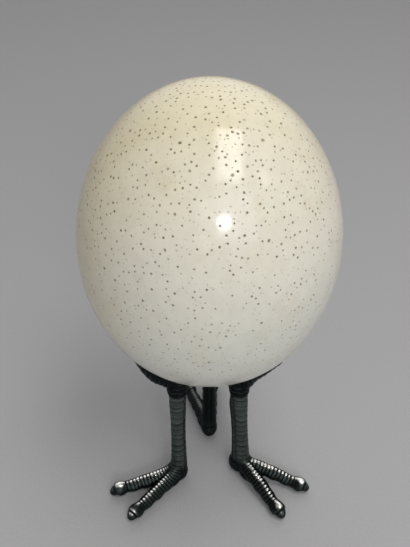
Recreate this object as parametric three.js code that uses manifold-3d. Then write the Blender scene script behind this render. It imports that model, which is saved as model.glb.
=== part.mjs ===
// An ostrich egg on a cast-metal stand of three bird legs.
// Millimetres, +Z up. The origin is on the floor, under the middle of the egg.
// "left" and "right" are as seen from the front, looking along +Y.
import * as THREE from 'three';
import { mergeVertices } from 'three/addons/utils/BufferGeometryUtils.js';
import Module from 'manifold-3d';

const wasm = await Module();
wasm.setup();

const radians = THREE.MathUtils.degToRad;

// Gap between neighbouring pieces.
const FIT_GAP = 0.3;

// Egg.
const EGG_DIAMETER = 127;
const EGG_LENGTH = 154.3;
const EGG_CENTRE_HEIGHT = 159.7;
const EGG_FULLNESS_LOW = 0.013; // how much wider the lower half is than the upper
const EGG_LEAN = radians(1.1); // towards +X

// Where each leg stands, seen from above: its ankle and its top. The right leg leans a little.
const LEGS = {
  left: { ankle: [-17.2, -13.6], top: [-16.9, -13.5] },
  right: { ankle: [19.8, -8.6], top: [16.6, -12.6] },
  back: { ankle: [0.4, 21.3], top: [0.4, 21.3] },
};

// Each foot: the way it points, how far each of its toes is turned from that, and the height
// that the middle of its toes comes down from.
const FEET = {
  left: { heading: radians(214.8), splay: radians(14.8), instep: 4.5 },
  right: { heading: radians(320), splay: radians(17.5), instep: 7.5 },
  back: { heading: radians(99), splay: radians(12), instep: 4.5 },
};

// Leg: tarsus, heel and two toes.
const LEG_TOP_HEIGHT = 69;
const TARSUS_WIDTH_TOP = 9.4;
const TARSUS_WIDTH_WAIST = 8.2;
const TARSUS_WIDTH_ANKLE = 9.3;
const TARSUS_WAIST_HEIGHT = 38;
const ANKLE_HEIGHT = 12;
const HEEL_HALF_SIZE = new THREE.Vector3(6, 5.1, 7);
const HEEL_CENTRE = new THREE.Vector3(-0.5, 0, 5.5);
const TOE_ROOT_REACH = 1.5; // from the tarsus's axis
const TOE_REACH = 42.2; // from the tarsus's axis to the nail's tip
const TOE_TIP_HEIGHT = 2.6;
const TOE_WIDTH = 7.8;
const TOE_NECK_WIDTH = 6.8; // just behind the last joint
const TOE_JOINT_WIDTH = 8.6;
const NAIL_LENGTH = 7.5;
const NAIL_TIP_WIDTH = 4.6;

// Tenon on top of each leg, in a socket under each arm.
const TENON_WIDTH = 5;
const TENON_LENGTH = 4;

// Cradle ring under the egg.
const RING_INNER_RADIUS = 12;
const RING_OUTER_RADIUS = 18.5;
const RING_BOTTOM_HEIGHT = 79;
const RING_CHAMFER = 1;

// Cradle arm: a collar over the leg, and a tapering bracket along the egg's underside.
// Each bracket's underside is given as (reach from the collar's axis, height) at its knee,
// where the collar turns outwards, at its belly and at its tip. The right one is slimmer.
const COLLAR_HALF_WIDTH = 5.8;
const ARMS = {
  left: { heading: radians(219), knee: [8, 78], belly: [19, 92], tip: [27.5, 111] },
  right: { heading: radians(320), knee: [9, 81], belly: [17, 93], tip: [25, 106] },
  back: { heading: radians(91), knee: [8, 78], belly: [19, 92], tip: [27.5, 111] },
};

const EGG_SIDES = 44;
const EGG_RINGS = 28;
const ROUND_SIDES = 14;
const TOE_SIDES = 12;

// A geometry with its shared corners joined and its collapsed triangles dropped.
function weld(geometry) {
  const bare = geometry.clone();
  bare.deleteAttribute('normal');
  bare.deleteAttribute('uv');
  const merged = mergeVertices(bare);
  const kept = [];
  const index = merged.getIndex().array;
  for (let i = 0; i < index.length; i += 3) {
    const [a, b, c] = index.subarray(i, i + 3);
    if (a !== b && b !== c && c !== a) kept.push(a, b, c);
  }
  merged.setIndex(kept);
  return merged;
}

function toSolid(geometry) {
  const welded = weld(geometry);
  return new wasm.Manifold(new wasm.Mesh({
    numProp: 3,
    vertProperties: new Float32Array(welded.getAttribute('position').array),
    triVerts: new Uint32Array(welded.getIndex().array),
  }));
}

function toGeometry(solid) {
  const mesh = solid.getMesh();
  const geometry = new THREE.BufferGeometry();
  geometry.setAttribute('position', new THREE.BufferAttribute(mesh.vertProperties, 3));
  geometry.setIndex(new THREE.BufferAttribute(mesh.triVerts, 1));
  geometry.computeVertexNormals();
  return geometry;
}

// A body of revolution about +Z through (x, y, z) = (0, 0, 0).
// Each profile point is (radius, height), from the bottom up.
function turned(profile, sides) {
  return new THREE.LatheGeometry(profile, sides).rotateX(Math.PI / 2);
}

// The egg: an ellipse along its axis, a little fuller below than above.
// grow enlarges it all round, for the cutter that leaves the fit gap.
function eggGeometry(grow) {
  const profile = [];
  for (let ring = 0; ring <= EGG_RINGS; ring += 1) {
    const angle = Math.PI * (ring / EGG_RINGS - 0.5);
    const fullness = 1 - EGG_FULLNESS_LOW * Math.sin(angle);
    const radius = (EGG_DIAMETER / 2 + grow) * Math.cos(angle) * fullness;
    const isPole = ring === 0 || ring === EGG_RINGS;
    profile.push(new THREE.Vector2(isPole ? 0 : radius, (EGG_LENGTH / 2 + grow) * Math.sin(angle)));
  }
  return turned(profile, EGG_SIDES);
}

// A toe: a round spindle from the instep, over its last joint, to the nail's tip.
// turn is its angle from +X of the leg's own frame.
function toeGeometry(turn, instep) {
  const root = new THREE.Vector3(TOE_ROOT_REACH, 0, instep);
  const tip = new THREE.Vector3(TOE_REACH * Math.cos(turn), TOE_REACH * Math.sin(turn), TOE_TIP_HEIGHT);
  const along = tip.clone().sub(root);
  const length = along.length();
  const nailStart = length - NAIL_LENGTH;
  const profile = [
    new THREE.Vector2(0, 0),
    new THREE.Vector2(TOE_WIDTH / 2, 0),
    new THREE.Vector2(TOE_WIDTH / 2, length * 0.3),
    new THREE.Vector2(TOE_NECK_WIDTH / 2, nailStart - 3),
    new THREE.Vector2(TOE_JOINT_WIDTH / 2, nailStart + 1),
    new THREE.Vector2(TOE_NECK_WIDTH / 2, length - NAIL_LENGTH / 2 + 0.5),
    new THREE.Vector2(NAIL_TIP_WIDTH / 2, length - 0.5),
    new THREE.Vector2(0, length),
  ];
  const geometry = new THREE.LatheGeometry(profile, TOE_SIDES);
  const tilt = new THREE.Quaternion().setFromUnitVectors(new THREE.Vector3(0, 1, 0), along.normalize());
  return geometry.applyQuaternion(tilt).translate(root.x, root.y, root.z);
}

// The tarsus, waisted between the ankle and the top, with its tenon.
// lean is how far its top stands off its ankle, as a slope along X and Y.
function tarsusGeometry(lean) {
  const profile = [
    new THREE.Vector2(0, ANKLE_HEIGHT - 8),
    new THREE.Vector2(TARSUS_WIDTH_ANKLE / 2, ANKLE_HEIGHT - 8),
    new THREE.Vector2(TARSUS_WIDTH_ANKLE / 2, ANKLE_HEIGHT),
    new THREE.Vector2(TARSUS_WIDTH_WAIST / 2, TARSUS_WAIST_HEIGHT - 12),
    new THREE.Vector2(TARSUS_WIDTH_WAIST / 2, TARSUS_WAIST_HEIGHT + 8),
    new THREE.Vector2(TARSUS_WIDTH_TOP / 2, LEG_TOP_HEIGHT - 8),
    new THREE.Vector2(TARSUS_WIDTH_TOP / 2, LEG_TOP_HEIGHT),
    new THREE.Vector2(TENON_WIDTH / 2, LEG_TOP_HEIGHT),
    new THREE.Vector2(TENON_WIDTH / 2, LEG_TOP_HEIGHT + TENON_LENGTH),
    new THREE.Vector2(0, LEG_TOP_HEIGHT + TENON_LENGTH),
  ];
  const slope = new THREE.Matrix4().set(
    1, 0, lean.x, -lean.x * ANKLE_HEIGHT,
    0, 1, lean.y, -lean.y * ANKLE_HEIGHT,
    0, 0, 1, 0,
    0, 0, 0, 1,
  );
  return turned(profile, ROUND_SIDES).applyMatrix4(slope);
}

function heelGeometry() {
  const geometry = new THREE.SphereGeometry(1, ROUND_SIDES, ROUND_SIDES / 2).rotateX(Math.PI / 2);
  geometry.scale(HEEL_HALF_SIZE.x, HEEL_HALF_SIZE.y, HEEL_HALF_SIZE.z);
  return geometry.translate(HEEL_CENTRE.x, HEEL_CENTRE.y, HEEL_CENTRE.z);
}

// One leg round its tarsus's axis, +X towards the toes, with its soles cut flat at the floor.
function legGeometry(lean, { splay, instep }) {
  const floorDepth = 20;
  const floor = new THREE.BoxGeometry(160, 80, floorDepth).translate(0, 0, -floorDepth / 2);
  const leg = toSolid(tarsusGeometry(lean))
    .add(toSolid(heelGeometry()))
    .add(toSolid(toeGeometry(splay, instep)))
    .add(toSolid(toeGeometry(-splay, instep)))
    .subtract(toSolid(floor));
  return toGeometry(leg);
}

// An arm seen from the side: the collar, its knee and the bracket's underside.
// The shape runs on into the egg, which is cut away from it afterwards.
function armSideShape({ knee, belly, tip }) {
  const bottom = LEG_TOP_HEIGHT + FIT_GAP;
  const shape = new THREE.Shape();
  shape.moveTo(-COLLAR_HALF_WIDTH, bottom);
  shape.lineTo(COLLAR_HALF_WIDTH, bottom);
  shape.quadraticCurveTo(COLLAR_HALF_WIDTH, bottom + 4, knee[0], knee[1]);
  shape.quadraticCurveTo(knee[0] + (belly[0] - knee[0]) * 0.55, knee[1] + 4, belly[0], belly[1]);
  shape.quadraticCurveTo(belly[0] + 4.5, belly[1] + 7, tip[0], tip[1]);
  shape.lineTo(tip[0], tip[1] + 12);
  shape.lineTo(-COLLAR_HALF_WIDTH, tip[1] + 12);
  shape.closePath();
  return shape;
}

// An arm seen from above: a leaf, widest at the collar.
function armPlanShape(reach) {
  const outline = [
    [-COLLAR_HALF_WIDTH, COLLAR_HALF_WIDTH * 0.6],
    [-COLLAR_HALF_WIDTH * 0.6, COLLAR_HALF_WIDTH],
    [COLLAR_HALF_WIDTH, COLLAR_HALF_WIDTH],
    [reach * 0.6, COLLAR_HALF_WIDTH * 0.8],
    [reach * 0.88, COLLAR_HALF_WIDTH * 0.45],
    [reach, COLLAR_HALF_WIDTH * 0.15],
  ];
  const leftEdge = outline.map(([x, y]) => new THREE.Vector2(x, y));
  const rightEdge = outline.map(([x, y]) => new THREE.Vector2(x, -y)).reverse();
  return new THREE.Shape([...leftEdge, ...rightEdge]);
}

// The hole under an arm that the leg's tenon goes into.
function socketGeometry() {
  const depth = TENON_LENGTH + FIT_GAP;
  const radius = TENON_WIDTH / 2 + 2 * FIT_GAP;
  const hole = new THREE.CylinderGeometry(radius, radius, 2 * depth, ROUND_SIDES);
  return hole.rotateX(Math.PI / 2).translate(0, 0, LEG_TOP_HEIGHT);
}

// The ring's outside, enlarged by the fit gap, that seats it in the arms.
function ringSeatGeometry() {
  const height = EGG_CENTRE_HEIGHT - RING_BOTTOM_HEIGHT;
  const radius = RING_OUTER_RADIUS + FIT_GAP;
  const seat = new THREE.CylinderGeometry(radius, radius, height, EGG_SIDES);
  return seat.rotateX(Math.PI / 2).translate(0, 0, RING_BOTTOM_HEIGHT - FIT_GAP + height / 2);
}

// One arm round its collar's axis, +X outwards, cut to the leg's tenon, the egg and the ring.
// cutters are the enlarged egg and ring, in the arm's own frame.
function armGeometry(arm, cutters) {
  const width = 2 * COLLAR_HALF_WIDTH + 2;
  const sideways = { depth: width, bevelEnabled: false, curveSegments: 5 };
  const side = new THREE.ExtrudeGeometry(armSideShape(arm), sideways);
  side.translate(0, 0, -width / 2).rotateX(Math.PI / 2);
  const upwards = { depth: EGG_CENTRE_HEIGHT, bevelEnabled: false };
  const plan = new THREE.ExtrudeGeometry(armPlanShape(arm.tip[0]), upwards);
  let bracket = toSolid(side).intersect(toSolid(plan)).subtract(toSolid(socketGeometry()));
  for (const cutter of cutters) bracket = bracket.subtract(toSolid(cutter));
  return toGeometry(bracket);
}

// The ring that ties the three arms together, close under the egg.
function ringGeometry(eggCutter) {
  const top = RING_BOTTOM_HEIGHT + 12;
  const profile = [
    new THREE.Vector2(RING_INNER_RADIUS, RING_BOTTOM_HEIGHT + RING_CHAMFER),
    new THREE.Vector2(RING_INNER_RADIUS + RING_CHAMFER, RING_BOTTOM_HEIGHT),
    new THREE.Vector2(RING_OUTER_RADIUS - RING_CHAMFER, RING_BOTTOM_HEIGHT),
    new THREE.Vector2(RING_OUTER_RADIUS, RING_BOTTOM_HEIGHT + RING_CHAMFER),
    new THREE.Vector2(RING_OUTER_RADIUS, top),
    new THREE.Vector2(RING_INNER_RADIUS, top),
    new THREE.Vector2(RING_INNER_RADIUS, RING_BOTTOM_HEIGHT + RING_CHAMFER),
  ];
  return toGeometry(toSolid(turned(profile, EGG_SIDES)).subtract(toSolid(eggCutter)));
}

const eggMaterial = new THREE.MeshStandardMaterial({
  name: 'eggshell',
  color: 0xd8d3bb,
  roughness: 0.25,
  metalness: 0,
});
const bronzeMaterial = new THREE.MeshStandardMaterial({
  name: 'cast_metal',
  color: 0x39423c,
  roughness: 0.45,
  metalness: 0.9,
});

const eggOnStand = new THREE.Group();

function addPiece(name, geometry, material) {
  const piece = new THREE.Mesh(geometry, material.clone());
  piece.name = name;
  eggOnStand.add(piece);
  return piece;
}

// The egg's own frame, leaning and raised onto the cradle.
const eggPlace = new THREE.Matrix4()
  .makeRotationY(EGG_LEAN)
  .setPosition(0, 0, EGG_CENTRE_HEIGHT);
const egg = addPiece('egg', weld(eggGeometry(0)), eggMaterial);
egg.applyMatrix4(eggPlace);

const eggCutter = eggGeometry(FIT_GAP).applyMatrix4(eggPlace);
addPiece('cradle_ring', ringGeometry(eggCutter), bronzeMaterial);

for (const [side, { ankle, top }] of Object.entries(LEGS)) {
  const foot = FEET[side];
  const arm = ARMS[side];
  const armPlace = new THREE.Matrix4().makeRotationZ(arm.heading).setPosition(top[0], top[1], 0);
  const toArm = armPlace.clone().invert();
  const cutters = [eggCutter, ringSeatGeometry()].map((cutter) => cutter.clone().applyMatrix4(toArm));
  addPiece(`cradle_arm_${side}`, armGeometry(arm, cutters), bronzeMaterial).applyMatrix4(armPlace);

  const lean = new THREE.Vector2(top[0] - ankle[0], top[1] - ankle[1])
    .rotateAround(new THREE.Vector2(), -foot.heading)
    .divideScalar(LEG_TOP_HEIGHT - ANKLE_HEIGHT);
  const leg = addPiece(`leg_${side}`, legGeometry(lean, foot), bronzeMaterial);
  leg.position.set(ankle[0], ankle[1], 0);
  leg.rotation.z = foot.heading;
}

export default eggOnStand;
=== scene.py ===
import math

import bpy
import numpy as np
from mathutils import Euler, Matrix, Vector
from mathutils.geometry import delaunay_2d_cdt


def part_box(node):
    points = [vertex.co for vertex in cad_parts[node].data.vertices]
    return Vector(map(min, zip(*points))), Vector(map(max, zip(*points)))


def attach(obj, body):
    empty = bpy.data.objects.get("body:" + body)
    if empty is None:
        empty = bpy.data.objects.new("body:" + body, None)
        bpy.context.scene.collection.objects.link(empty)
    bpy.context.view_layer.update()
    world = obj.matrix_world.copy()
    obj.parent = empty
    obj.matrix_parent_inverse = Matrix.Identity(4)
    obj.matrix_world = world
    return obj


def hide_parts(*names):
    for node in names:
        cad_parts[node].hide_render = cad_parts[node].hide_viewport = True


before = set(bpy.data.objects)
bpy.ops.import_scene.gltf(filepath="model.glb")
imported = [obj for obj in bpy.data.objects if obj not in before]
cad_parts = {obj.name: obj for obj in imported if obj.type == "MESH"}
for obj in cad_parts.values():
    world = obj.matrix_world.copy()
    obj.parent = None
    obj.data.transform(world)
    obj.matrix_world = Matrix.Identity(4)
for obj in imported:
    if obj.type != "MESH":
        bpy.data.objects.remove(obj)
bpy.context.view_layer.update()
millimetre = 0.001  # shapes are worked out in millimetres, meshes are in metres
body = "root"


# curves and directions, worked out for whole arrays

def smoothStep(low, high, x):
    # 0 below low, 1 above high, and the curve 3t^2 - 2t^3 between them
    t = np.clip((x - low) / (high - low), 0, 1)
    return t * t * (3 - 2 * t)


def plateau(x, rise, fall):
    # 0, up to 1 between the two values of rise, and down to 0 again between the two of fall
    return smoothStep(*rise, x) * (1 - smoothStep(*fall, x))


def hump(x, middle, width):
    # e to the power of -((x - middle) / width)^2
    return np.exp(-((x - middle) / width) ** 2)


def onceRound(count):
    # even angles from 0 to one step short of a full turn
    return np.linspace(0, 2 * np.pi, count, endpoint=False)


def shortWay(angle):
    # how far an angle is from 0 by the shorter way round, 0 to pi
    return np.abs(np.angle(np.exp(1j * angle)))


def turned(x, y, angle):
    # (x cos - y sin, x sin + y cos)
    c, s = math.cos(angle), math.sin(angle)
    return x * c - y * s, x * s + y * c


def unit(vectors):
    # each vector divided by its length
    return vectors / np.linalg.norm(vectors, axis=-1, keepdims=True)


def alongTable(table, x, smoothing=0.04, samples=9):
    # straight lines between the (place, value) rows of a short table, averaged over samples of x
    # that reach to each side by a share, smoothing, of the table's length
    places, values = np.array(table, float).T
    offsets = np.linspace(-1, 1, samples) * smoothing * (places[-1] - places[0])
    return np.mean([np.interp(x + offset, places, values) for offset in offsets], axis=0)


def splinePath(points, count, perSpan=40):
    # a Catmull-Rom curve through the points, from b to c half of
    # 2b + (c - a)t + (2a - 5b + 4c - d)t^2 + (3b - a - 3c + d)t^3, then sampled at even steps of its length
    p = np.array(points, float)
    p = np.vstack([2 * p[0] - p[1], p, 2 * p[-1] - p[-2]])
    t = np.linspace(0, 1, perSpan, endpoint=False)[:, None]
    spans = []
    for a, b, c, d in zip(p, p[1:], p[2:], p[3:]):
        spans.append(0.5 * (2 * b + (c - a) * t + (2 * a - 5 * b + 4 * c - d) * t ** 2
                            + (3 * b - a - 3 * c + d) * t ** 3))
    dense = np.vstack(spans + [p[-2:-1]])
    length = np.concatenate([[0], np.cumsum(np.linalg.norm(np.diff(dense, axis=0), axis=1))])
    even = np.linspace(0, length[-1], count)
    return np.stack([np.interp(even, length, values) for values in dense.T], axis=1), even


# meshes from whole arrays: a shell is its points, its quads and its triangles

noTriangles = np.zeros((0, 3), int)


def gridQuads(rings, sides, joined=False):
    # the cells between neighbouring rings, and from the last ring to the first where they are joined
    i, j = np.meshgrid(np.arange(rings if joined else rings - 1), np.arange(sides), indexing="ij")
    here, there = i * sides, (i + 1) % rings * sides
    following = (j + 1) % sides
    return np.stack([here + j, here + following, there + following, there + j], -1).reshape(-1, 4)


def closedTube(x, y, z):
    # coordinates by (ring, side): cells between the rings, and a fan to the middle of each end ring
    grid = np.stack(np.broadcast_arrays(x, y, z), -1)
    rings, sides = grid.shape[:2]
    points = np.vstack([grid.reshape(-1, 3), grid[0].mean(0), grid[-1].mean(0)])
    side = np.arange(sides)
    following = (side + 1) % sides
    last = (rings - 1) * sides
    startFan = np.stack([following, side, np.full(sides, rings * sides)], -1)
    endFan = np.stack([last + side, last + following, np.full(sides, rings * sides + 1)], -1)
    return points, gridQuads(rings, sides), np.vstack([startFan, endFan])


def facingOut(shell):
    # turns a shell's faces round if its signed volume, the sum of (a x b) . c, is below zero
    points, quads, triangles = shell
    split = np.vstack([quads[:, :3], quads[:, [0, 2, 3]], triangles])
    a, b, c = points[split].transpose(1, 0, 2)
    if (np.cross(a, b) * c).sum() < 0:
        return points, quads[:, ::-1], triangles[:, ::-1]
    return shell


def addObject(name, data):
    added = bpy.data.objects.new(name, data)
    bpy.context.scene.collection.objects.link(added)
    return added


def makeMesh(name, points, quads, triangles):
    # an object of smooth faces from points in millimetres
    mesh = bpy.data.meshes.new(name)
    mesh.vertices.add(len(points))
    mesh.vertices.foreach_set("co", (points * millimetre).astype(np.float32).ravel())
    corners = np.concatenate([quads.ravel(), triangles.ravel()])
    sizes = np.concatenate([np.full(len(quads), 4), np.full(len(triangles), 3)])
    mesh.loops.add(len(corners))
    mesh.loops.foreach_set("vertex_index", corners.astype(np.int32))
    mesh.polygons.add(len(sizes))
    mesh.polygons.foreach_set("loop_start", (np.cumsum(sizes) - sizes).astype(np.int32))
    mesh.polygons.foreach_set("use_smooth", np.ones(len(sizes), bool))
    mesh.update(calc_edges=True)
    mesh.validate()
    return addObject(name, mesh)


def castInOne(name, shells, grain):
    # joins overlapping closed shells into one skin, by a voxel remesh of that grain in millimetres
    starts = np.cumsum([0] + [len(points) for points, quads, triangles in shells])
    points = np.vstack([shell[0] for shell in shells])
    quads = np.vstack([shell[1] + start for shell, start in zip(shells, starts)])
    triangles = np.vstack([shell[2] + start for shell, start in zip(shells, starts)])
    rough = makeMesh(name + "_rough", points, quads, triangles)
    remesh = rough.modifiers.new("skin", "REMESH")
    remesh.mode = "VOXEL"
    remesh.voxel_size = grain * millimetre
    remesh.use_smooth_shade = True
    bpy.context.view_layer.update()
    skin = bpy.data.meshes.new_from_object(rough.evaluated_get(bpy.context.evaluated_depsgraph_get()))
    bpy.data.objects.remove(rough)
    skin.name = name
    return addObject(name, skin)


def readPoints(piece, what):
    # "co" for the places of a piece's points in metres, "normal" for the way that they face
    flat = np.empty(len(piece.data.vertices) * 3, np.float32)
    piece.data.vertices.foreach_get(what, flat)
    return flat.reshape(-1, 3).astype(float)


def setPointValue(piece, name, values):
    attribute = piece.data.attributes.new(name, "FLOAT", "POINT")
    attribute.data.foreach_set("value", values.astype(np.float32))


def ridgeHeight(piece, reach=0.06, rounds=6):
    # how far each point stands out of its surroundings' average, along its normal, as a share of reach in
    # millimetres; every round averages over the points at the other ends of its edges once more
    points = readPoints(piece, "co")
    count = len(points)
    ends = np.empty(len(piece.data.edges) * 2, np.int32)
    piece.data.edges.foreach_get("vertices", ends)
    a, b = ends.reshape(-1, 2).T
    edges = np.bincount(a, minlength=count) + np.bincount(b, minlength=count)
    average = points.copy()
    for _ in range(rounds):
        summed = [np.bincount(a, average[b, k], count) + np.bincount(b, average[a, k], count)
                  for k in range(3)]
        average = np.stack(summed, 1) / np.maximum(edges, 1)[:, None]
    return ((points - average) * readPoints(piece, "normal")).sum(1) / (reach * millimetre)


def finishPiece(piece, node, material):
    # its one material and the body that it belongs to; the CAD part that it stands in for is hidden
    piece.data.materials.clear()
    piece.data.materials.append(material)
    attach(piece, body)
    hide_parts(node)
    print("made", piece.name, len(piece.data.polygons), "faces")


class Nodes:
    # a short way to add nodes to a material or a world and join them up
    def __init__(self, owner, shader="Principled BSDF"):
        owner.use_nodes = True
        self.owner = owner
        self.tree = owner.node_tree
        self.shader = self.tree.nodes[shader]

    def give(self, socket, value):
        # a fixed value, or a link from another node's output
        if isinstance(value, (int, float, tuple)):
            socket.default_value = value
        else:
            self.tree.links.new(value, socket)

    def add(self, kind, values=None, links=None, **settings):
        node = self.tree.nodes.new(kind)
        for key, value in settings.items():
            setattr(node, key, value)
        for key, value in {**(values or {}), **(links or {})}.items():
            self.give(node.inputs[key], value)
        return node

    def maths(self, operation, first, second, clamp=False):
        values = {0: first, 1: second}
        return self.add("ShaderNodeMath", values, operation=operation, use_clamp=clamp).outputs[0]

    def alongAxis(self, place, axis):
        # place . axis
        node = self.add("ShaderNodeVectorMath", {1: axis}, {0: place}, operation="DOT_PRODUCT")
        return node.outputs["Value"]

    def remap(self, value, low, high, toLow=0.0, toHigh=1.0):
        # eases from toLow to toHigh while the value goes from low to high
        node = self.add("ShaderNodeMapRange", {1: low, 2: high, 3: toLow, 4: toHigh}, {0: value})
        node.interpolation_type = "SMOOTHSTEP"
        return node.outputs[0]

    def blendColours(self, share, first, second, mode="MIX"):
        values = {"Factor": share, 6: first, 7: second}
        return self.add("ShaderNodeMix", values, data_type="RGBA", blend_type=mode).outputs[2]

    def blendValues(self, share, first, second):
        # first + share (second - first)
        change = self.maths("SUBTRACT", second, first)
        return self.maths("ADD", first, self.maths("MULTIPLY", share, change))

    def shadeBy(self, colour, grey):
        # the colour times a grey that varies over the surface
        levels = {"Red": grey, "Green": grey, "Blue": grey}
        tint = self.add("ShaderNodeCombineColor", links=levels).outputs["Color"]
        return self.blendColours(1.0, colour, tint, "MULTIPLY")

    def noise(self, place, scale, detail=3.0, roughness=0.5):
        values = {"Scale": scale, "Detail": detail, "Roughness": roughness}
        return self.add("ShaderNodeTexNoise", values, {"Vector": place}).outputs["Fac"]

    def mottle(self, place, scale, low, high, detail=3.0, roughness=0.5):
        # noise, stretched from its usual 0.3 to 0.7 so that it runs from low to high
        return self.remap(self.noise(place, scale, detail, roughness), 0.3, 0.7, low, high)

    def bump(self, height, strength, distance, onto=None):
        links = {"Height": height}
        if onto is not None:
            links["Normal"] = onto
        node = self.add("ShaderNodeBump", {"Strength": strength, "Distance": distance}, links)
        return node.outputs["Normal"]

    def pointValue(self, name):
        return self.add("ShaderNodeAttribute", attribute_name=name).outputs["Fac"]

    def feed(self, socket, value):
        self.give(self.shader.inputs[socket], value)


# the camera and the light

cameraSettings = {
    "place": (-0.0004, -0.28638, 0.34112),
    "downwards": 35.224,  # degrees below the horizon
    "turn": 0.319,  # degrees from +Y towards -X
    "focalPixels": 700,
    "imageHeight": 547,  # pixels, the longer side
    "sensor": 36,  # millimetres
    "nearest": 0.01,
}


def makeCamera(settings):
    data = bpy.data.cameras.new("camera")
    data.sensor_width = settings["sensor"]
    data.lens = settings["focalPixels"] * data.sensor_width / settings["imageHeight"]
    data.clip_start = settings["nearest"]
    camera = addObject("camera", data)
    camera.location = settings["place"]
    camera.rotation_euler = (math.radians(90 - settings["downwards"]), 0, math.radians(settings["turn"]))
    bpy.context.scene.camera = camera


makeCamera(cameraSettings)
print("camera placed")

lightSettings = {  # azimuths are in degrees from +X, heights in degrees above the horizon
    "aim": (0.006, -0.04, 0.216),  # the part of the shell that mirrors the lights
    "room": 0.31,  # strength of the light from all round
    "roomColour": (1.0, 0.99, 0.975, 1),
    "wall": {"azimuth": 88, "height": 37, "extra": 0.79},  # the middle of a paler wall behind the egg
    "wallEdge": (0.66, 0.96),  # cosines of the angle from its middle where it starts and where it is palest
    "lights": {
        "skylight": {"azimuth": 316.4, "height": 67.6, "roll": -41.5, "distance": 1.3, "shape": "RECTANGLE",
                     "size": (0.50, 1.03), "watts": 9.0, "colour": (1.0, 0.965, 0.92)},
        "smallPane": {"azimuth": 335.5, "height": 39, "roll": 0, "distance": 1.3, "shape": "RECTANGLE",
                      "size": (0.16, 0.27), "watts": 0.34, "colour": (1.0, 0.95, 0.90)},
        "lamp": {"azimuth": 282.7, "height": 22.6, "roll": 0, "distance": 1.2, "shape": "ELLIPSE",
                 "size": (0.26, 0.20), "watts": 2.5, "colour": (0.98, 1.0, 1.0)},
        "frontFill": {"azimuth": 287, "height": 24, "roll": 0, "distance": 1.7, "shape": "RECTANGLE",
                      "size": (1.5, 1.0), "watts": 6.8, "colour": (0.94, 0.98, 1.0)},
    },
}


def makeRoom(settings):
    # the room's light grows with the cosine of the angle from the middle of the wall
    world = bpy.data.worlds.new("studio")
    bpy.context.scene.world = world
    n = Nodes(world, "Background")
    wall = settings["wall"]
    azimuth, height = math.radians(wall["azimuth"]), math.radians(wall["height"])
    flat = math.cos(height)
    middle = (flat * math.cos(azimuth), flat * math.sin(azimuth), math.sin(height))
    cosine = n.alongAxis(n.add("ShaderNodeTexCoord").outputs["Generated"], middle)
    room = settings["room"]
    n.feed("Color", settings["roomColour"])
    n.feed("Strength", n.remap(cosine, *settings["wallEdge"], room, room + wall["extra"]))


def makeLight(name, light, aim):
    # an area light at its distance from the aim, facing it
    data = bpy.data.lights.new(name, "AREA")
    data.shape = light["shape"]
    data.size, data.size_y = light["size"]
    data.energy = light["watts"]
    data.color = light["colour"]
    azimuth, height = math.radians(light["azimuth"]), math.radians(light["height"])
    flat = math.cos(height)
    away = np.array([flat * math.cos(azimuth), flat * math.sin(azimuth), math.sin(height)])
    lamp = addObject(name, data)
    lamp.location = np.array(aim) + light["distance"] * away
    facing = Euler((math.pi / 2 - height, 0, azimuth + math.pi / 2)).to_matrix()
    lamp.rotation_euler = (facing @ Matrix.Rotation(math.radians(light["roll"]), 3, "Z")).to_euler()


makeRoom(lightSettings)
for name, light in lightSettings["lights"].items():
    makeLight(name, light, lightSettings["aim"])
bpy.context.scene.view_settings.view_transform = "Standard"
print("lights placed")


# the egg

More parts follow.
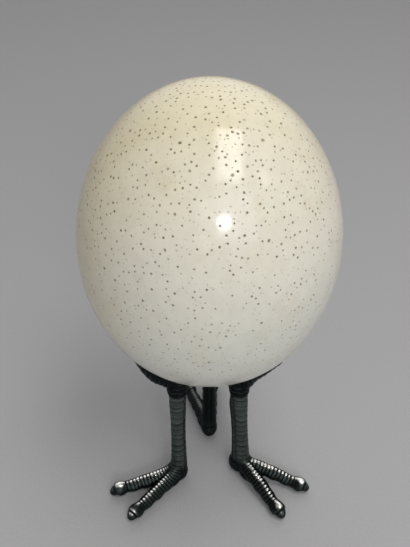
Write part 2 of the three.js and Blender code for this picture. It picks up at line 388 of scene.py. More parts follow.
eggLow, eggHigh = (np.array(corner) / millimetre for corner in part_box("egg"))
eggSettings = {  # millimetres; a height on the egg is -1 at its bottom and 1 at its top
    "centre": (eggLow + eggHigh) / 2,
    "halfWidth": (eggHigh[1] - eggLow[1]) / 2,
    "halfLength": (eggHigh[2] - eggLow[2]) / 2,
    "fullness": 0.013,  # how much wider the lower half is than the upper
    "lean": math.radians(1.1),  # towards +X
    "seed": 11,
    "tries": 8700,  # places for a pore, before the crowded ones are left out
    "lowerShare": 0.6,  # the share of them that is used low on the egg
    "crowdHeights": (0.15, 0.6),  # where that share rises to all of them
    "openShare": 0.56,  # the first of them are open pores and the others faint ones
    "open": {"spacing": 2.15, "size": (0.75, 1.18), "dark": (0.65, 1.0)},
    "faint": {"spacing": 1.4, "size": (0.5, 0.8), "dark": (0.2, 0.6)},
    "poreRadius": (0.34, 0.43),  # of size 1, low and high on the egg
    "growthHeights": (-0.4, 0.85),
    "poreDepth": 0.4,
    "stretch": (1.0, 1.25),  # length against width
    "twinShare": 0.04,
    "twinStretch": (1.5, 1.8),
    "poreSides": 8,
    "unevenRim": (0.87, 1.13),
    "rimSink": 0.04,  # share of the depth
    "floorSink": 0.8,
    "floorWidth": 0.66,  # share of the rim's
    "rimShade": 0.6,
    "ringGrowth": 1.25,  # the smooth ring round a pore is so much wider than it, and the margin more
    "ringMargin": 0.1,
    "ringGap": 0.15,  # at least, between two rings
    # colours, and the places in metres where one turns into the next
    "pale": (0.71, 0.71, 0.645, 1),  # painted light: the front, where the front lights fall and mirror
    "ivory": (0.74, 0.703, 0.60, 1),
    "honey": (0.705, 0.640, 0.452, 1),
    "stain": (0.60, 0.505, 0.34, 1),
    "poreBrown": (0.138, 0.104, 0.05, 1),
    "backwards": (-0.3, 0.5, 0.62),  # pale to honey, painted light to shade: up, back and to the left
    "ivoryBand": (0.055, 0.115),  # along that way
    "honeyBand": (0.11, 0.175),
    "drift": (28, 0.045),  # noise scale and how far the bands wander by it
    "leftBand": (-0.062, -0.028),  # along X; painted shade on the side away from the key light
    "leftHoney": 0.6,
    "mottle": (160, 0.965, 1.02),  # noise scale, darkest and palest
    "stainPatches": (62, 0.5, 0.72),  # noise scale, and the noise where a patch starts and is full
    "stainBand": (0.03, 0.15),
    "stainShare": (0.12, 0.34),
    "speckScale": 520,  # hair-fine blind pores
    "speckSize": (0.04, 0.19),
    "speckShare": 0.34,
    "roughness": (260, 0.12, 0.19),  # noise scale, smoothest and roughest
    "poreRoughness": 0.4,  # added to it
    "wave": (70, 0.1, 0.0006),  # noise scale, strength and distance of the two bumps
    "grain": (900, 0.12, 0.00005),
}


def leanOver(p, angle):
    # about Y: x cos + z sin, y, z cos - x sin
    c, s = math.cos(angle), math.sin(angle)
    return np.stack([c * p[..., 0] + s * p[..., 2], p[..., 1], -s * p[..., 0] + c * p[..., 2]], -1)


def shellFromSphere(direction, egg, grow=0.0):
    # x and y are (half width)(1 - fullness z) times the direction's, z is the half length times its,
    # and then the whole leans over and stands at its centre
    fuller = 1 - egg["fullness"] * direction[..., 2:3]
    p = direction * (np.array([egg["halfWidth"], egg["halfWidth"], egg["halfLength"]]) + grow)
    p = np.concatenate([p[..., :2] * fuller, p[..., 2:3]], -1)
    return leanOver(p, egg["lean"]) + egg["centre"]


def sphereFromShell(points, egg):
    # the same sum backwards, as a unit direction, and how far out a point is, 1 on the shell
    p = leanOver(points - egg["centre"], -egg["lean"])
    z = p[..., 2:3] / egg["halfLength"]
    direction = np.concatenate([p[..., :2] / (egg["halfWidth"] * (1 - egg["fullness"] * z)), z], -1)
    size = np.linalg.norm(direction, axis=-1, keepdims=True)
    return direction / size, size[..., 0]


def shellNormal(direction, egg):
    # the direction divided by the half sizes, made a unit and leaned over; the slight fullness is left out
    p = direction / np.array([egg["halfWidth"], egg["halfWidth"], egg["halfLength"]])
    return leanOver(unit(p), egg["lean"])


def scatterPores(egg, random, chunk=400):
    # directions at random, closer together towards the top, each with its pore's radius, stretch and
    # darkness and the reach of its ring; a pore is left out where one before it in the list is nearer than
    # the spacing or their two rings allow, which is tested for a chunk of the list at a time
    middle = unit(random.normal(size=(egg["tries"], 3)))
    share = egg["lowerShare"] + (1 - egg["lowerShare"]) * smoothStep(*egg["crowdHeights"], middle[:, 2])
    middle = middle[random.uniform(0, 1, egg["tries"]) < share]
    middle[0] = (0, 0, -1)  # one at the very bottom, where skinBetween needs it
    tries = len(middle)
    order = np.arange(tries)
    faint = order >= tries * egg["openShare"]

    def either(which, first, second):
        return np.where(which, random.uniform(*first, tries), random.uniform(*second, tries))

    small, large = egg["poreRadius"]
    radius = small + (large - small) * smoothStep(*egg["growthHeights"], middle[:, 2])
    radius = radius * either(faint, egg["faint"]["size"], egg["open"]["size"])
    dark = either(faint, egg["faint"]["dark"], egg["open"]["dark"])
    twins = random.uniform(0, 1, tries) < egg["twinShare"]
    stretch = either(twins, egg["twinStretch"], egg["stretch"])
    reach = radius * stretch * egg["ringGrowth"] + egg["ringMargin"]
    spot = shellFromSphere(middle, egg)
    kept = np.ones(tries, bool)
    for start in range(0, tries, chunk):
        rows = slice(start, start + chunk)
        least = np.where(faint[rows, None] | faint, egg["faint"]["spacing"], egg["open"]["spacing"])
        least = np.maximum(least, reach[rows, None] + reach + egg["ringGap"])
        near = np.linalg.norm(spot[rows, None] - spot, axis=-1) < least
        kept[rows] = ~(near & (order < order[rows, None])).any(1)
    return middle[kept], radius[kept], stretch[kept], dark[kept], reach[kept]


def skinBetween(rings, tolerance=1e-9):
    # rings is (pores, sides, 3) on the unit sphere. The sphere is laid flat from its bottom pole, by
    # (x, y) / (1 + z), which keeps the best triangles best: they are the Delaunay ones of the flat points.
    # The ring round the bottom pore is the flat map's outer edge
    sides = rings.shape[1]
    directions = rings.reshape(-1, 3)
    flat = directions[:, :2] / (1 + directions[:, 2:])
    corner = np.arange(len(directions))
    following = corner - corner % sides + (corner + 1) % sides
    ringEdges = np.stack([corner, following], 1)
    wholeHull = 0  # the kind of result that has every triangle
    found = delaunay_2d_cdt(flat.tolist(), ringEdges.tolist(), [], wholeHull, tolerance)
    triangles = np.array(found[3]).ravel()[np.array(found[2])]  # by the numbers that the corners had here
    pore = triangles // sides
    triangles = triangles[(pore != pore[:, :1]).any(1)]  # those inside a ring go
    a, b, c = directions[triangles].transpose(1, 0, 2)
    inward = (np.cross(b - a, c - a) * a).sum(1) < 0
    triangles[inward] = triangles[inward][:, ::-1]
    return triangles


def makeEgg(egg):
    # each pore is a round ring on the shell, its uneven rim, a narrower floor ring and a middle point, sunk
    # along the normal; between the pores' rings the shell is one skin of triangles
    random = np.random.default_rng(egg["seed"])
    middle, radius, stretch, dark, reach = scatterPores(egg, random)
    count, sides = len(middle), egg["poreSides"]
    centre = shellFromSphere(middle, egg)
    normal = shellNormal(middle, egg)
    tangent = unit(np.cross(normal, (0.3, 0.9, 0.2)))  # any fixed direction will do
    other = np.cross(normal, tangent)
    angle = random.uniform(0, np.pi, count)[:, None] + onceRound(sides)
    circle = np.cos(angle)[..., None] * tangent[:, None] + np.sin(angle)[..., None] * other[:, None]
    way = random.uniform(0, np.pi, count)[:, None]
    longWay = (np.cos(way) * tangent + np.sin(way) * other)[:, None]
    rim = circle * (radius[:, None] * random.uniform(*egg["unevenRim"], (count, sides)))[..., None]
    along = (rim * longWay).sum(-1, keepdims=True)
    rim = rim + along * (stretch - 1)[:, None, None] * longWay

    def onSphere(offset):
        return sphereFromShell(centre[:, None] + offset, egg)[0]

    sink = normal[:, None] * (egg["poreDepth"] * radius / egg["poreRadius"][1])[:, None, None]
    rings = onSphere(circle * reach[:, None, None])
    pits = np.concatenate([
        shellFromSphere(onSphere(rim), egg) - sink * egg["rimSink"],
        shellFromSphere(onSphere(rim * egg["floorWidth"]), egg) - sink * egg["floorSink"],
        centre[:, None] - sink], 1)
    points = np.vstack([shellFromSphere(rings, egg).reshape(-1, 3), pits.reshape(-1, 3)])
    corner = np.arange(sides)
    pitStart = count * sides + np.arange(count)[:, None] * pits.shape[1]
    rows = [np.arange(count)[:, None] * sides + corner, pitStart + corner, pitStart + sides + corner]
    quads = [np.stack([a, np.roll(a, -1, 1), np.roll(b, -1, 1), b], -1).reshape(-1, 4)
             for a, b in zip(rows, rows[1:])]
    bottom = np.repeat(pitStart + 2 * sides, sides, 1)
    fans = np.stack([rows[-1], np.roll(rows[-1], -1, 1), bottom], -1).reshape(-1, 3)
    shell = makeMesh("egg_shell", points, np.vstack(quads), np.vstack([skinBetween(rings), fans]))
    shade = np.array([egg["rimShade"]] * sides + [1.0] * (sides + 1)) * dark[:, None]
    setPointValue(shell, "pore", np.concatenate([np.zeros(count * sides), shade.ravel()]))
    print("egg with", count, "pores")
    return shell


def eggMaterial(egg):
    n = Nodes(bpy.data.materials.new("polishedShell"))
    place = n.add("ShaderNodeTexCoord").outputs["Object"]
    # painted light and shade: pale in front, then ivory and honey; the left side, in shade, is yellower too
    scale, wander = egg["drift"]
    drift = n.maths("MULTIPLY", n.noise(place, scale), wander)
    back = n.maths("ADD", n.alongAxis(place, egg["backwards"]), drift)
    left = n.alongAxis(place, (1, 0, 0))
    colour = n.blendColours(n.remap(back, *egg["ivoryBand"]), egg["pale"], egg["ivory"])
    colour = n.blendColours(n.remap(back, *egg["honeyBand"]), colour, egg["honey"])
    colour = n.blendColours(n.remap(left, *egg["leftBand"], egg["leftHoney"], 0.0), colour, egg["honey"])
    # mottling, faint tan stains, and blind pores between the open ones
    colour = n.shadeBy(colour, n.mottle(place, *egg["mottle"], 5, 0.6))
    scale, *edges = egg["stainPatches"]
    patches = n.remap(n.noise(place, scale, 5, 0.65), *edges)
    strength = n.remap(back, *egg["stainBand"], *egg["stainShare"])
    colour = n.blendColours(n.maths("MULTIPLY", patches, strength), colour, egg["stain"])
    cells = n.add("ShaderNodeTexVoronoi", {"Scale": egg["speckScale"]}, {"Vector": place})
    speck = n.remap(cells.outputs["Distance"], *egg["speckSize"], egg["speckShare"], 0.0)
    pore = n.pointValue("pore")
    n.feed("Base Color", n.blendColours(n.maths("MAXIMUM", pore, speck), colour, egg["poreBrown"]))
    polish = n.mottle(place, *egg["roughness"], 4)
    n.feed("Roughness", n.maths("ADD", polish, n.maths("MULTIPLY", pore, egg["poreRoughness"])))
    (waveScale, *wave), (grainScale, *grain) = egg["wave"], egg["grain"]
    waves = n.bump(n.noise(place, waveScale, 1), *wave)
    n.feed("Normal", n.bump(n.noise(place, grainScale), *grain, waves))
    return n.owner


shell = makeEgg(eggSettings)
finishPiece(shell, "egg", eggMaterial(eggSettings))


# the stand's dark bronze, the same on all its pieces

metalSettings = {
    "patina": (0.066, 0.081, 0.073, 1),
    "verdigris": (0.095, 0.124, 0.108, 1),
    "clouds": (140, 0.38, 0.7),  # noise scale, and the noise where verdigris starts and is full
    # the dark of the patina in hollows, and of the painted shade
    "deep": (0.003, 0.005, 0.006, 1),
    "deepRidge": (-1.0, 0.1),  # a point's ridge value where it is all deep, and where it is not
    "worn": (0.95, 0.96, 0.94, 1),
    "wornPatches": (420, 0.3, 0.55, 0.6, 1.0),  # noise scale, the noise from and to, the wear from and to
    "edge": (0.42, 0.47, 0.47, 1),  # how much it shines where it is seen edge on
    "metallic": 0.9,
    "roughness": (500, 0.36, 0.5),  # noise scale, smoothest and roughest
    "wornRoughness": 0.2,
    "coat": 0.15,
    "coatRoughness": 0.3,
    "pitting": (1300, 0.3, 0.00006),  # noise scale, strength and distance of the bump
}


def metalMaterial(metal):
    # each point's "ridge" value takes it from deep to patina, and its "wear" value to worn metal
    n = Nodes(bpy.data.materials.new("darkBronze"))
    place = n.add("ShaderNodeTexCoord").outputs["Object"]
    scale, *edges = metal["clouds"]
    clouds = n.remap(n.noise(place, scale, 4, 0.6), *edges)
    colour = n.blendColours(clouds, metal["patina"], metal["verdigris"])
    # the ridge value holds the relief's hollows, painted shade, and a painted highlight on the plates' lips
    hollowAndShade = n.remap(n.pointValue("ridge"), *metal["deepRidge"], 1.0, 0.0)
    colour = n.blendColours(hollowAndShade, colour, metal["deep"])
    scale, *edges = metal["wornPatches"]
    patches = n.remap(n.noise(place, scale), *edges)
    # the wear value is rubbed metal, with a little painted sheen on the plates' lips
    rubbed = n.maths("MULTIPLY", n.pointValue("wear"), patches, True)
    n.feed("Base Color", n.blendColours(rubbed, colour, metal["worn"]))
    n.feed("Metallic", metal["metallic"])
    n.feed("Specular Tint", metal["edge"])
    rough = n.mottle(place, *metal["roughness"], 4)
    n.feed("Roughness", n.blendValues(rubbed, rough, metal["wornRoughness"]))
    n.feed("Coat Weight", metal["coat"])
    n.feed("Coat Roughness", metal["coatRoughness"])
    scale, strength, distance = metal["pitting"]
    n.feed("Normal", n.bump(n.noise(place, scale, 4, 0.65), strength, distance))
    return n.owner


bronze = metalMaterial(metalSettings)


# the legs

legSettings = {  # millimetres and degrees; a foot's own +X runs out between its toes
    # ankle and top: where the shank's axis is at those two heights, seen from above
    # foot: the way it points, from +X; splay: of each toe from that; arch: how far the toes arch up
    # keel: how far it stands out behind, as a share of the radius; heel: how far it reaches back
    # twist: how far the shank is turned round above the ankle; rubbed: how bright the rubbed metal is
    # for each of the two toes, tipwards: how much nearer the tip its bright joint is, and
    # broad: 1 where its crest is rubbed wider near the ankle
    "places": {
        "left": {"ankle": (-17.2, -13.6), "top": (-16.9, -13.5), "foot": 214.8, "splay": 14.8, "arch": 0.0,
                 "keel": 0.06, "heel": 5.3, "twist": 18, "rubbed": 1.0,
                 "tipwards": (4.6, 0.0), "broad": (0.0, 1.0)},
        "right": {"ankle": (19.8, -8.6), "top": (16.6, -12.6), "foot": 320.0, "splay": 17.5, "arch": 2.5,
                  "keel": 0.46, "heel": 8.4, "twist": -8, "rubbed": 1.0,
                  "tipwards": (0.0, 0.0), "broad": (1.0, 1.0)},
        # the back leg's low rubbed value is painted shade: its foot lies in the egg's shadow
        "back": {"ankle": (0.4, 21.3), "top": (0.4, 21.3), "foot": 99.0, "splay": 12, "arch": 0.3,
                 "keel": 0.12, "heel": 6.0, "twist": -8, "rubbed": 0.12,
                 "tipwards": (0.0, 0.0), "broad": (1.0, 1.0)},
    },
    "ankleHeight": 12.0,
    "topHeight": 69.0,
    "grain": 0.26,
    # the shank, by height and by the angle from its front
    "shankRadius": ((2, 4.5), (12, 4.65), (20, 4.35), (32, 4.05), (46, 4.05), (58, 4.45), (71, 4.75)),
    "shankHeights": (2.0, 72.0),
    "shankStep": 0.2,
    "shankSides": 120,
    "twistHeights": (8, 18),
    "platesEnd": (86, 97),
    "grooveAngle": 98,
    "grooveWidth": 0.13,  # radians
    "grooveDepth": 0.1,  # share of the radius
    "keelStart": (98, 122),
    "keelFades": (56, 68),  # heights
    "keelLoss": 0.8,
    "platePitch": 4.4,
    "plateRise": 0.5,
    "plateEdge": 0.13,  # of the pitch
    "plateThinning": 0.85,
    "plateSink": 0.6,  # of the rise
    "scaleRise": 0.09,
    "scalePitch": 1.5,
    "scalesRound": 14,
    # the toes: distance from the ankle and height, then the radius by the share of that path
    "toePath": ((0.3, 26), (0.5, 18), (1.6, 11.5), (4.8, 7.4), (9.5, 5.3), (16, 4.6), (24, 4.2),
                (31, 4.0), (36.5, 4.3), (39.2, 3.6), (42.0, 1.9)),
    "toeRadius": ((0.0, 1.4), (0.13, 2.2), (0.22, 3.9), (0.33, 4.4), (0.45, 4.3), (0.6, 4.1), (0.72, 3.9),
                  (0.78, 3.5), (0.81, 3.35), (0.845, 3.9), (0.88, 4.65), (0.905, 4.55), (0.93, 4.0),
                  (0.96, 3.5), (1.0, 2.6)),
    "toeRings": 320,
    "toeSides": 96,
    "archRise": (2, 11),  # distances from the ankle
    "archFall": (17, 37),
    "scutesStart": (0.22, 0.34),  # shares of the path
    "scutesEnd": (0.83, 0.87),
    "scutePitch": 2.1,
    "scuteRise": 0.36,
    "scuteSink": 0.55,  # of the rise
    "underRise": 0.2,  # how high the scutes are below, as a share of those above
    "padPitch": 8.2,
    "padStart": 3,
    "padRise": 0.3,
    "crestPinch": 0.26,  # how much narrower a toe is along its top
    "nailStart": (0.922, 0.938),
    "nailPinch": 0.15,
    "tipStart": 0.945,
    # the heel and the ball of the foot
    "heelHeight": 5.6,
    "heelSize": (6.0, 5.1, 7.0),
    "ballCentre": (7.5, 0.0, 3.0),
    "ballSize": (7.6, 6.0, 3.9),
    "skinScales": (26, 22, 0.014),  # rows, scales in a row, rise as a share of the size
    # where the toes are rubbed, between none and all of it at each two values: heights, distances from
    # the ankle, how far a point faces up, or how far it stands out; the last is how bright the nails are
    "wear": {"footStart": (3.5, 5.5), "footEnd": (10, 15), "broadEnd": (15, 24),
             "crestFacing": (0.89, 0.955), "crestRidge": (0.1, 0.7), "crestEnd": (33, 36),
             "jointStart": (33.4, 35), "jointEnd": (38, 39.5), "jointFacing": (0.76, 0.96),
             "nailStart": (39.8, 40.6), "nailFacing": (0.35, 0.95), "nails": 0.1},
    # how much of the relief is shaded, how much painted shade darkens the feet, the shank's back and the
    # line under each plate, and how much a painted highlight makes its lip paler and brighter; under and
    # lip each start with their place up a plate and their width
    "shade": {"shankHeights": (10, 16), "backFacing": (-0.2, 0.0), "relief": 0.4, "foot": 0.85,
              "back": 0.95, "under": (0.03, 0.09, 1.0), "lip": (0.3, 0.13, 0.35), "lipSheen": 0.05},
}


def twistAt(height, place, leg):
    # the twist times 0 at the foot and 1 above the ankle
    return math.radians(place["twist"]) * smoothStep(*leg["twistHeights"], height)


def upPlate(height, fromFront, pitch):
    # how far up its plate a point of the shank is, 0 at the plate's lower edge to 1 under the next one:
    # the fraction of (height + a slow wave - a rise towards the sides) / pitch
    waves = 0.5 * np.sin(height * 0.31) + 0.35 * np.sin(height * 0.83)
    along = (height + waves - (1 - np.cos(fromFront))) / pitch
    return along - np.floor(along)


def shankShell(place, leg, lean):
    # radius(height, angle): the table's radius less a groove along each side and more for the keel behind,
    # with plates in front, thick at the lower edge and thin at the top, and fine scales behind
    height = np.arange(*leg["shankHeights"], leg["shankStep"])[:, None]
    angle = onceRound(leg["shankSides"])[None, :]  # 0 is the front
    fromFront = shortWay(angle)
    groove = leg["grooveDepth"] * hump(fromFront, math.radians(leg["grooveAngle"]), leg["grooveWidth"])
    back = smoothStep(*np.radians(leg["keelStart"]), fromFront)
    fading = 1 - leg["keelLoss"] * smoothStep(*leg["keelFades"], height)
    keel = place["keel"] * fading * back * np.cos(angle) ** 2
    radius = alongTable(leg["shankRadius"], height) * (1 - groove + keel)
    up = upPlate(height, fromFront, leg["platePitch"])
    plates = smoothStep(0, leg["plateEdge"], up) * (1 - leg["plateThinning"] * up ** 1.3) - leg["plateSink"]
    front = 1 - smoothStep(*np.radians(leg["platesEnd"]), fromFront)
    row = np.floor(height * 2 / leg["scalePitch"])
    scales = np.cos(height * 2 * np.pi / leg["scalePitch"])
    scales = scales * np.cos(angle * leg["scalesRound"] + row * np.pi)
    radius = radius + leg["plateRise"] * front * plates + leg["scaleRise"] * back * scales
    way = angle + twistAt(height, place, leg)
    above = height - leg["ankleHeight"]
    x = radius * np.cos(way) + lean[0] * above
    y = radius * np.sin(way) + lean[1] * above
    return closedTube(x, y, height)


def scuteRows(distance, pitch, seed):
    # 0 to about 1: a row of rounded plates with narrow grooves between them,
    # |sin(pi distance / pitch)| ^ 0.75, and no two of them quite alike
    row = np.floor(distance / pitch)
    uneven = 1 + 0.15 * np.sin(row * 12.9898 + seed * 4.1)
    return uneven * np.abs(np.sin(np.pi * distance / pitch)) ** 0.75


def toeShell(place, leg, splay, seed):
    # a tube down the front of the ankle and out along the toe: radius(length, angle) with ring scutes,
    # higher above than below, pads below, a narrower top and a smooth round nail; never under the floor
    path, length = splinePath(leg["toePath"], leg["toeRings"])
    path[:, 1] += place["arch"] * plateau(path[:, 0], leg["archRise"], leg["archFall"])
    tangent = unit(np.gradient(path, axis=0))
    upward = np.stack([-tangent[:, 1], tangent[:, 0]], -1)  # the back of the toe, in the plane of the path
    length = length[:, None]
    share = length / length[-1]
    angle = onceRound(leg["toeSides"])[None, :]  # 0 is outwards along the side, a quarter turn is up
    radius = alongTable(leg["toeRadius"], share)
    top = smoothStep(-0.35, 0.7, np.sin(angle))
    onToe = plateau(share, leg["scutesStart"], leg["scutesEnd"])
    rows = scuteRows(length + 0.5 * np.cos(angle) ** 2, leg["scutePitch"], seed) - leg["scuteSink"]
    rows = rows * (leg["underRise"] + (1 - leg["underRise"]) * top)
    pads = np.cos((length - leg["padStart"]) * 2 * np.pi / leg["padPitch"])
    radius = radius + leg["scuteRise"] * rows * onToe
    radius = radius + leg["padRise"] * pads * (1 - top) * onToe
    nail = smoothStep(*leg["nailStart"], share)
    tip = np.clip((share - leg["tipStart"]) / (1 - leg["tipStart"]), 0, 0.9999)
    radius = radius * (1 - leg["nailPinch"] * nail) * (1 - tip ** 2) ** 0.4
    crest = smoothStep(0.0, 1.0, np.sin(angle)) * smoothStep(*leg["scutesStart"], share)
    outwards = radius * np.cos(angle) * (1 - leg["crestPinch"] * crest)
    rise = radius * np.sin(angle) * (0.97 - 0.12 * nail)
    forwards = path[:, :1] + rise * upward[:, :1]
    height = np.maximum(path[:, 1:] + rise * upward[:, 1:], 0.0)
    return closedTube(*turned(forwards, outwards, splay), height)


def lumpShell(centre, size, scales, seed):
    # an ellipsoid with a finely scaled skin, cut flat by the floor: the centre, and the size times
    # (sin down cos around, sin down sin around, -cos down)
    rows, inRow, rise = scales
    down = np.linspace(0.02, np.pi - 0.02, 90)[:, None]
    around = onceRound(120)[None, :]
    row = np.floor(down * rows / np.pi)
    skin = 1 + rise * np.cos(down * rows) * np.cos(around * inRow + row * np.pi + seed)
    x = centre[0] + size[0] * skin * np.sin(down) * np.cos(around)
    y = centre[1] + size[1] * skin * np.sin(down) * np.sin(around)
    z = centre[2] - size[2] * skin * np.cos(down)
    return closedTube(x, y, np.maximum(z, 0.0))


def toeWear(out, height, facingUp, ridge, place, wear, seed):
    # how brightly each point is rubbed: the toes' crests, which are the ridges that face up, wider near the
    # ankle of a broad one, the last joint before the nail, and the nails a little;
    # out is the place seen from the ankle, with +X the way that the foot points
    distance = np.hypot(*out)
    uneven = 0.03 * np.sin(distance * 0.55 + seed * 1.7) + 0.02 * np.sin(distance * 1.3 + seed)
    firstToe = out[1] > 0
    tipwards = np.where(firstToe, *place["tipwards"])
    broad = np.where(firstToe, *place["broad"]) * (1 - smoothStep(*wear["broadEnd"], distance))
    onFoot = smoothStep(*wear["footStart"], height + 0.4 * tipwards)
    onFoot = onFoot * (1 - smoothStep(*wear["footEnd"], height))
    crest = smoothStep(*wear["crestFacing"], facingUp + uneven + 0.05 * broad)
    crest = crest * smoothStep(*wear["crestRidge"], ridge + 0.5 * broad)
    crest = crest * (1 - smoothStep(0, 3, tipwards) * smoothStep(*wear["crestEnd"], distance))
    joint = plateau(distance - tipwards, wear["jointStart"], wear["jointEnd"])
    joint = joint * smoothStep(*wear["jointFacing"], facingUp + 2 * uneven + 0.035 * tipwards)
    nails = smoothStep(*wear["nailStart"], distance) * smoothStep(*wear["nailFacing"], facingUp)
    return np.maximum(onFoot * np.maximum(crest, joint), wear["nails"] * nails)


def shadeLeg(piece, place, leg, turn, drift, seed):
    # "ridge" is the relief, less painted shade on the feet, the shank's back and the line under each plate,
    # plus a painted highlight on its lip; "wear" is the toes' rubbing, or a little painted sheen on the
    # lips
    shade = leg["shade"]
    points = readPoints(piece, "co") / millimetre
    normals = readPoints(piece, "normal")
    ridge = ridgeHeight(piece)
    height = points[:, 2]
    front = turn + twistAt(height, place, leg)
    facingFront = normals[:, 0] * np.cos(front) + normals[:, 1] * np.sin(front)
    back = 1 - smoothStep(*shade["backFacing"], facingFront)
    onShank = smoothStep(*shade["shankHeights"], height)
    axis = place["ankle"] + (height[:, None] - leg["ankleHeight"]) * drift
    x, y = (points[:, :2] - axis).T
    up = upPlate(height, shortWay(np.arctan2(y, x) - front), leg["platePitch"])
    (low, lowWidth, darkness), (high, highWidth, paleness) = shade["under"], shade["lip"]
    under = hump(up, low, lowWidth) + hump(up, 1 + low, lowWidth)
    lip = hump(up, high, highWidth)
    plated = onShank * (1 - back)
    # painted shade: the feet, the shank's back where the egg shades it, and the line under each plate's
    # edge
    dark = shade["foot"] * (1 - onShank) + shade["back"] * back * onShank + darkness * under * plated
    setPointValue(piece, "ridge", shade["relief"] * ridge + paleness * lip * plated - dark)
    out = turned(*(points[:, :2] - place["ankle"]).T, -turn)
    rubbed = toeWear(out, height, normals[:, 2], ridge, place, leg["wear"], seed)
    # a little painted sheen on the plates' lips
    setPointValue(piece, "wear", np.maximum(rubbed * place["rubbed"], shade["lipSheen"] * lip * plated))


def makeLeg(name, place, leg, seed):
    # the shank, two toes, the heel and the ball are made with the ankle at the origin and the foot along
    # +X, then turned, moved and cast in one
    turn, splay = math.radians(place["foot"]), math.radians(place["splay"])
    drift = (np.array(place["top"]) - place["ankle"]) / (leg["topHeight"] - leg["ankleHeight"])
    heelCentre = (leg["heelSize"][0] - place["heel"], 0.0, leg["heelHeight"])
    shells = [shankShell(place, leg, turned(*drift, -turn)),
              toeShell(place, leg, splay, seed + 1),
              toeShell(place, leg, -splay, seed + 2),
              lumpShell(heelCentre, leg["heelSize"], leg["skinScales"], seed),
              lumpShell(leg["ballCentre"], leg["ballSize"], leg["skinScales"], seed + 1)]
    placed = []
    for points, quads, fans in map(facingOut, shells):
        x, y = turned(points[:, 0], points[:, 1], turn)
        x, y = place["ankle"][0] + x, place["ankle"][1] + y
        placed.append((np.stack([x, y, points[:, 2]], 1), quads, fans))
    piece = castInOne(name, placed, leg["grain"])
    shadeLeg(piece, place, leg, turn, drift, seed)
    return piece


for number, (side, place) in enumerate(legSettings["places"].items()):
    leg = makeLeg("bird_leg_" + side, place, legSettings, number * 3)
    finishPiece(leg, "leg_" + side, bronze)


# the cradle: three arms and the ring between them

slender = ((-4, 15.5), (4, 15.0), (6.1, 14.0), (8.4, 11.4), (10.2, 8.6), (12, 7.0), (13.3, 6.2),
           (15.8, 4.9), (19.2, 2.9), (22.4, 1.5), (24.4, 0.9), (25.4, 0.7))
stout = ((-4, 15.5), (5, 14.5), (8, 13.2), (11, 11.8), (14.1, 11.2), (17, 9.9), (19.8, 7.8),
         (22.6, 5.0), (24.2, 3.0), (25.2, 1.8), (25.9, 0.9))
armSettings = {  # each stands on its leg's top
    # the way that the bracket points, in degrees from +X, and its thickness under the shell by its reach
    "places": {
        "left": {"heading": 219.0, "depth": stout},
        "right": {"heading": 320.0, "depth": slender},
        "back": {"heading": 91.0, "depth": stout},
    },
    "gap": 0.12,  # between the metal and the shell
    "grain": 0.25,
    # the painted shade darkens the arms where the egg shades them
    "shade": {"relief": 0.5, "paintedShade": 1.1, "edgeRidge": (0.3, 1.2), "edgeWear": 0.06},
    # the collar, by height
    "collarRadius": ((69, 5.2), (71, 5.5), (74, 5.8), (78, 6.0), (90, 6.0)),
    "collarHeights": (69.1, 89.0),
    "collarStep": 0.22,
    "collarSides": 120,
    "featherPitch": 3.4,
    "feathersRound": 8,
    "featherRise": 0.36,
    "featherSink": 0.35,  # of the rise
    "featherEdge": 0.3,  # of the pitch
    "featherTip": 0.35,
    "featherThinning": 0.75,
    # the bracket: half its width by the share of its reach
    "halfWidth": ((0, 4.6), (0.25, 5.3), (0.5, 5.2), (0.7, 4.2), (0.88, 2.5), (0.96, 1.6), (1, 0.9)),
    "bracketStep": 0.24,
    "bracketSides": 110,
    "leafStart": (5, 9),  # reach where the barbs and the rib start
    "barbPitch": 2.6,
    "barbSlant": 0.75,
    "barbRise": 0.22,
    "ribWidth": 0.9,
    "ribRise": 0.45,
}


def underShell(x, y, gap, egg):
    # the height of the egg's lower side over (x, y), less the gap:
    # centre - (half length) sqrt(1 - (distance / half width)^2) - x tan(lean)
    out = np.minimum(np.hypot(x, y) / (egg["halfWidth"] + gap), 0.999)
    return egg["centre"][2] - (egg["halfLength"] + gap) * np.sqrt(1 - out ** 2) - x * math.tan(egg["lean"])


def keepOutOfShell(points, gap, egg):
    # whatever reaches into the egg is pushed straight out onto it
    direction, size = sphereFromShell(points, egg)
    inside = size < 1 + gap / egg["halfWidth"]
    return np.where(inside[:, None], shellFromSphere(direction, egg, gap), points)


def collarShell(top, arm, egg, seed):
    # radius(height, angle): a flared cuff of rows of feather tips, its top kept out of the shell
    bottom = arm["collarHeights"][0]
    height = np.arange(*arm["collarHeights"], arm["collarStep"])[:, None]
    angle = onceRound(arm["collarSides"])[None, :]
    row, up = np.divmod((height - bottom) / arm["featherPitch"], 1)
    tip = np.abs(np.cos(angle * arm["feathersRound"] / 2 + row * np.pi / 2 + seed))
    feather = smoothStep(0, arm["featherEdge"], up - arm["featherTip"] * (1 - tip))
    feather = feather * (1 - arm["featherThinning"] * up) - arm["featherSink"]
    radius = alongTable(arm["collarRadius"], height) + arm["featherRise"] * feather
    x, y = top[0] + radius * np.cos(angle), top[1] + radius * np.sin(angle)
    points, quads, fans = closedTube(x, y, height)
    return keepOutOfShell(points, arm["gap"], egg), quads, fans


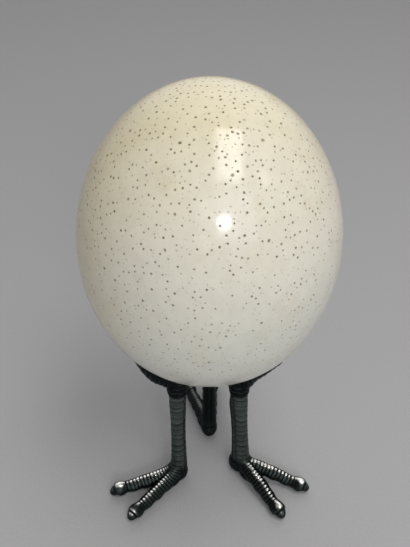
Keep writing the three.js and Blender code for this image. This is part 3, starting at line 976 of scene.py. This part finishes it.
def bracketShell(top, place, arm, egg):
    # under the shell, thickness(reach, across) is the depth times a rounded keel, with slanting leaf barbs
    # and a rib down the middle
    start, end = place["depth"][0][0], place["depth"][-1][0]
    reach = np.arange(start, end, arm["bracketStep"])[:, None]
    angle = onceRound(arm["bracketSides"])[None, :]
    across = alongTable(arm["halfWidth"], np.maximum(reach, 0) / end) * np.cos(angle)
    keel = np.maximum(np.sin(angle), 0) ** 0.85
    leaf = smoothStep(*arm["leafStart"], reach) * np.minimum(keel * 1.5, 1)
    barbs = np.sin((reach - np.abs(across) * arm["barbSlant"]) * 2 * np.pi / arm["barbPitch"])
    rib = hump(across, 0, arm["ribWidth"]) * leaf
    thickness = alongTable(place["depth"], reach) * keel
    thickness = thickness + (arm["barbRise"] * barbs + arm["ribRise"] * rib) * leaf
    x, y = turned(reach, across, math.radians(place["heading"]))
    x, y = top[0] + x, top[1] + y
    return closedTube(x, y, underShell(x, y, arm["gap"], egg) - thickness)


def shadeCradle(piece, shade):
    # "ridge" is the relief less a painted shade of the egg above, and the highest edges are a little rubbed
    ridge = ridgeHeight(piece)
    setPointValue(piece, "ridge", shade["relief"] * ridge - shade["paintedShade"])
    setPointValue(piece, "wear", shade["edgeWear"] * smoothStep(*shade["edgeRidge"], ridge))


for number, (side, place) in enumerate(armSettings["places"].items()):
    top = legSettings["places"][side]["top"]
    shells = [facingOut(collarShell(top, armSettings, eggSettings, number)),
              facingOut(bracketShell(top, place, armSettings, eggSettings))]
    arm = castInOne("cradle_leaf_" + side, shells, armSettings["grain"])
    shadeCradle(arm, armSettings["shade"])
    finishPiece(arm, "cradle_arm_" + side, bronze)

ringSettings = {
    "middle": 15.2,
    "halfWidth": 3.1,
    "bottom": 79.1,
    "gap": armSettings["gap"],
    "beads": 60,
    "beadRise": 0.18,
    "beadPlace": 0.55,  # the sine of its angle on the section, 0 under the shell and 1 at the bottom
    "beadWidth": 0.4,
    "squareness": 0.7,  # 1 for an oval section, less for a squarer one
    "steps": 480,
    "sides": 48,
    # the painted shade darkens the ring where the egg shades it
    "shade": {"relief": 0.5, "paintedShade": 0.6, "edgeRidge": (0.3, 1.2), "edgeWear": 0.06},
}


def makeRing(ring, egg):
    # section(around, angle): a squarish half oval from just under the shell down to the ring's bottom,
    # with a beaded lower edge
    around = onceRound(ring["steps"])[:, None]
    angle = onceRound(ring["sides"])[None, :]
    bead = np.cos(around * ring["beads"]) * hump(np.sin(angle), ring["beadPlace"], ring["beadWidth"])
    bead = ring["beadRise"] * bead
    sideways = np.sign(np.cos(angle)) * np.abs(np.cos(angle)) ** ring["squareness"]
    radius = ring["middle"] + (ring["halfWidth"] + bead) * sideways
    x, y = radius * np.cos(around), radius * np.sin(around)
    roof = underShell(x, y, ring["gap"], egg)
    low = np.maximum(np.sin(angle), 0) ** ring["squareness"]
    z = roof + (ring["bottom"] - roof - bead) * low
    quads = gridQuads(ring["steps"], ring["sides"], joined=True)
    points = np.stack([x, y, z], -1).reshape(-1, 3)
    return makeMesh("cradle_hoop", *facingOut((points, quads, noTriangles)))


hoop = makeRing(ringSettings, eggSettings)
shadeCradle(hoop, ringSettings["shade"])
finishPiece(hoop, "cradle_ring", bronze)


# the floor

floorSettings = {
    "halfSize": 4000,
    "colour": (0.375, 0.375, 0.388, 1),
    "speckle": (900, 0.96, 1.03),  # noise scale, darkest and palest
    "roughness": 0.9,
}


def makeFloor(settings):
    # one flat square
    half = settings["halfSize"]
    points = np.array([(-half, -half, 0), (half, -half, 0), (half, half, 0), (-half, half, 0)])
    floor = makeMesh("floor", points, np.array([[0, 1, 2, 3]]), noTriangles)
    n = Nodes(bpy.data.materials.new("paperFloor"))
    place = n.add("ShaderNodeTexCoord").outputs["Object"]
    n.feed("Base Color", n.shadeBy(settings["colour"], n.mottle(place, *settings["speckle"])))
    n.feed("Roughness", settings["roughness"])
    floor.data.materials.append(n.owner)


makeFloor(floorSettings)
print("floor laid")
